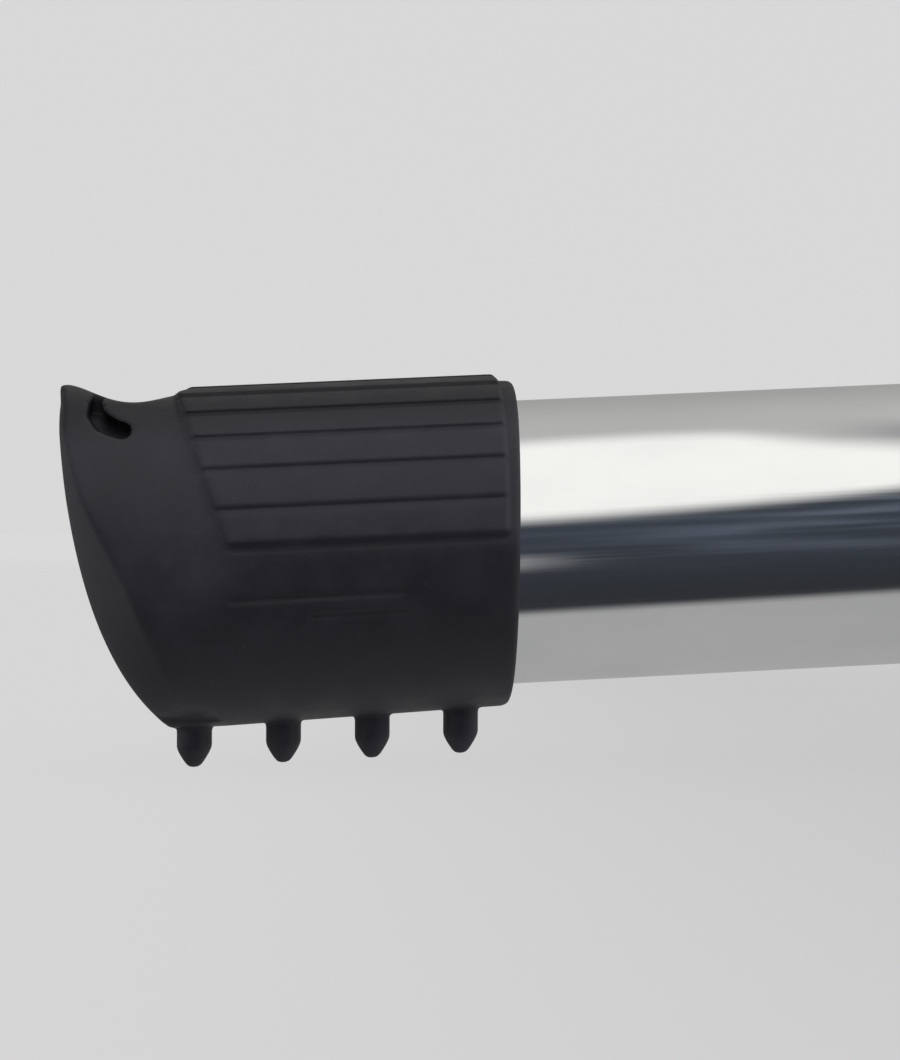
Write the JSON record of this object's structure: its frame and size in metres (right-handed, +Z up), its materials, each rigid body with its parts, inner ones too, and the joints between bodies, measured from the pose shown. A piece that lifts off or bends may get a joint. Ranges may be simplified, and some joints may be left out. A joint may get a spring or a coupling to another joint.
{
  "type": "ladder stabilizer",
  "caption": "Stand-off ladder stabilizer: a tubular crossbar with bent telescoping arms, studded rubber end caps and U-bolt rail clamps.",
  "frame": {"origin": "bottom centre of the object as it stands on its cap studs and clamp plates", "axes": "+X along the crossbar, +Y towards the ladder side, +Z up; the arms point to -Y, the wall side"},
  "size_m": [1.1652, 0.5189, 0.0949],
  "materials": {
    "polished_aluminium": "polished bare tube with fine drawing marks",
    "mill_aluminium": "mill finish, lightly brushed",
    "zinc_steel": "bright zinc plate",
    "black_rubber": "satin moulded rubber",
    "pad_rubber": "matt moulded rubber",
    "black_nylon": "fine moulded grain",
    "grey_vinyl": "soft dipped vinyl"
  },
  "bodies": {
    "crossbar": {"crossbar_tube": "polished_aluminium", "left_mouth_bushing": "black_nylon", "left_lock_bolt": "zinc_steel", "right_mouth_bushing": "black_nylon", "right_lock_bolt": "zinc_steel"},
    "left_arm": {"left_arm_tube": "polished_aluminium", "left_end_cap": "black_rubber"},
    "left_lock_saddle": {"left_lock_saddle": "black_nylon"},
    "left_lock_knob": {"left_lock_knob": "black_nylon"},
    "left_clamp": {"left_rail_plate": "mill_aluminium", "left_back_plate": "mill_aluminium", "left_rail_pad": "pad_rubber", "left_lower_clamp_bolt": "zinc_steel", "left_lower_clamp_nut": "zinc_steel", "left_lower_inner_washer": "zinc_steel", "left_lower_outer_washer": "zinc_steel", "left_upper_clamp_bolt": "zinc_steel", "left_upper_clamp_nut": "zinc_steel", "left_upper_inner_washer": "zinc_steel", "left_upper_outer_washer": "zinc_steel"},
    "left_lower_u_bolt": {"left_lower_u_bolt": "zinc_steel", "left_lower_u_sleeve": "grey_vinyl"},
    "left_lower_inner_wing_nut": {"left_lower_inner_wing_nut": "zinc_steel"},
    "left_lower_outer_wing_nut": {"left_lower_outer_wing_nut": "zinc_steel"},
    "left_upper_u_bolt": {"left_upper_u_bolt": "zinc_steel", "left_upper_u_sleeve": "grey_vinyl"},
    "left_upper_inner_wing_nut": {"left_upper_inner_wing_nut": "zinc_steel"},
    "left_upper_outer_wing_nut": {"left_upper_outer_wing_nut": "zinc_steel"},
    "right_arm": {"right_arm_tube": "polished_aluminium", "right_end_cap": "black_rubber"},
    "right_lock_saddle": {"right_lock_saddle": "black_nylon"},
    "right_lock_knob": {"right_lock_knob": "black_nylon"},
    "right_clamp": {"right_rail_plate": "mill_aluminium", "right_back_plate": "mill_aluminium", "right_rail_pad": "pad_rubber", "right_lower_clamp_bolt": "zinc_steel", "right_lower_clamp_nut": "zinc_steel", "right_lower_inner_washer": "zinc_steel", "right_lower_outer_washer": "zinc_steel", "right_upper_clamp_bolt": "zinc_steel", "right_upper_clamp_nut": "zinc_steel", "right_upper_inner_washer": "zinc_steel", "right_upper_outer_washer": "zinc_steel"},
    "right_lower_u_bolt": {"right_lower_u_bolt": "zinc_steel", "right_lower_u_sleeve": "grey_vinyl"},
    "right_lower_inner_wing_nut": {"right_lower_inner_wing_nut": "zinc_steel"},
    "right_lower_outer_wing_nut": {"right_lower_outer_wing_nut": "zinc_steel"},
    "right_upper_u_bolt": {"right_upper_u_bolt": "zinc_steel", "right_upper_u_sleeve": "grey_vinyl"},
    "right_upper_inner_wing_nut": {"right_upper_inner_wing_nut": "zinc_steel"},
    "right_upper_outer_wing_nut": {"right_upper_outer_wing_nut": "zinc_steel"}
  },
  "joints": [
    {"name": "left_arm_slide", "type": "slide", "parent": "crossbar", "child": "left_arm", "axis": [-1, 0, 0], "range_m": [-0.035, 0.035]},
    {"name": "left_lock_lift", "type": "slide", "parent": "crossbar", "child": "left_lock_saddle", "axis": [0, 0, 1], "range_m": [0, 0.004]},
    {"name": "left_lock_turn", "type": "hinge", "parent": "left_lock_saddle", "child": "left_lock_knob", "pos_m": [-0.29, 0.14042, 0.07846], "axis": [0, 0, 1], "range_deg": [0, 1153]},
    {"name": "left_clamp_slide", "type": "slide", "parent": "crossbar", "child": "left_clamp", "axis": [-1, 0, 0], "range_m": [-0.025, 0.025]},
    {"name": "left_lower_u_bolt_slide", "type": "slide", "parent": "left_clamp", "child": "left_lower_u_bolt", "axis": [0, 1, 0], "range_m": [-0.012, 0.018]},
    {"name": "left_lower_inner_nut_turn", "type": "hinge", "parent": "left_clamp", "child": "left_lower_inner_wing_nut", "pos_m": [-0.174, 0.11292, 0.01546], "axis": [0, 1, 0], "range_deg": [-5104, 3403]},
    {"name": "left_lower_outer_nut_turn", "type": "hinge", "parent": "left_clamp", "child": "left_lower_outer_wing_nut", "pos_m": [-0.226, 0.11292, 0.01546], "axis": [0, 1, 0], "range_deg": [-5104, 3403]},
    {"name": "left_upper_u_bolt_slide", "type": "slide", "parent": "left_clamp", "child": "left_upper_u_bolt", "axis": [0, 1, 0], "range_m": [-0.012, 0.018]},
    {"name": "left_upper_inner_nut_turn", "type": "hinge", "parent": "left_clamp", "child": "left_upper_inner_wing_nut", "pos_m": [-0.174, 0.11292, 0.07946], "axis": [0, 1, 0], "range_deg": [-5104, 3403]},
    {"name": "left_upper_outer_nut_turn", "type": "hinge", "parent": "left_clamp", "child": "left_upper_outer_wing_nut", "pos_m": [-0.226, 0.11292, 0.07946], "axis": [0, 1, 0], "range_deg": [-5104, 3403]},
    {"name": "right_arm_slide", "type": "slide", "parent": "crossbar", "child": "right_arm", "axis": [1, 0, 0], "range_m": [-0.035, 0.035]},
    {"name": "right_lock_lift", "type": "slide", "parent": "crossbar", "child": "right_lock_saddle", "axis": [0, 0, 1], "range_m": [0, 0.004]},
    {"name": "right_lock_turn", "type": "hinge", "parent": "right_lock_saddle", "child": "right_lock_knob", "pos_m": [0.29, 0.14042, 0.07846], "axis": [0, 0, 1], "range_deg": [0, 1153]},
    {"name": "right_clamp_slide", "type": "slide", "parent": "crossbar", "child": "right_clamp", "axis": [1, 0, 0], "range_m": [-0.025, 0.025]},
    {"name": "right_lower_u_bolt_slide", "type": "slide", "parent": "right_clamp", "child": "right_lower_u_bolt", "axis": [0, 1, 0], "range_m": [-0.012, 0.018]},
    {"name": "right_lower_inner_nut_turn", "type": "hinge", "parent": "right_clamp", "child": "right_lower_inner_wing_nut", "pos_m": [0.174, 0.11292, 0.01546], "axis": [0, 1, 0], "range_deg": [-5104, 3403]},
    {"name": "right_lower_outer_nut_turn", "type": "hinge", "parent": "right_clamp", "child": "right_lower_outer_wing_nut", "pos_m": [0.226, 0.11292, 0.01546], "axis": [0, 1, 0], "range_deg": [-5104, 3403]},
    {"name": "right_upper_u_bolt_slide", "type": "slide", "parent": "right_clamp", "child": "right_upper_u_bolt", "axis": [0, 1, 0], "range_m": [-0.012, 0.018]},
    {"name": "right_upper_inner_nut_turn", "type": "hinge", "parent": "right_clamp", "child": "right_upper_inner_wing_nut", "pos_m": [0.174, 0.11292, 0.07946], "axis": [0, 1, 0], "range_deg": [-5104, 3403]},
    {"name": "right_upper_outer_nut_turn", "type": "hinge", "parent": "right_clamp", "child": "right_upper_outer_wing_nut", "pos_m": [0.226, 0.11292, 0.07946], "axis": [0, 1, 0], "range_deg": [-5104, 3403]}
  ],
  "couplings": [
    {"joint": "left_lock_turn", "follows": "left_lock_lift", "rad_per_m": 5026.5},
    {"joint": "left_lower_inner_nut_turn", "follows": "left_lower_u_bolt_slide", "rad_per_m": -4947.4},
    {"joint": "left_lower_outer_nut_turn", "follows": "left_lower_u_bolt_slide", "rad_per_m": -4947.4},
    {"joint": "left_upper_inner_nut_turn", "follows": "left_upper_u_bolt_slide", "rad_per_m": -4947.4},
    {"joint": "left_upper_outer_nut_turn", "follows": "left_upper_u_bolt_slide", "rad_per_m": -4947.4},
    {"joint": "right_lock_turn", "follows": "right_lock_lift", "rad_per_m": 5026.5},
    {"joint": "right_lower_inner_nut_turn", "follows": "right_lower_u_bolt_slide", "rad_per_m": -4947.4},
    {"joint": "right_lower_outer_nut_turn", "follows": "right_lower_u_bolt_slide", "rad_per_m": -4947.4},
    {"joint": "right_upper_inner_nut_turn", "follows": "right_upper_u_bolt_slide", "rad_per_m": -4947.4},
    {"joint": "right_upper_outer_nut_turn", "follows": "right_upper_u_bolt_slide", "rad_per_m": -4947.4}
  ]
}
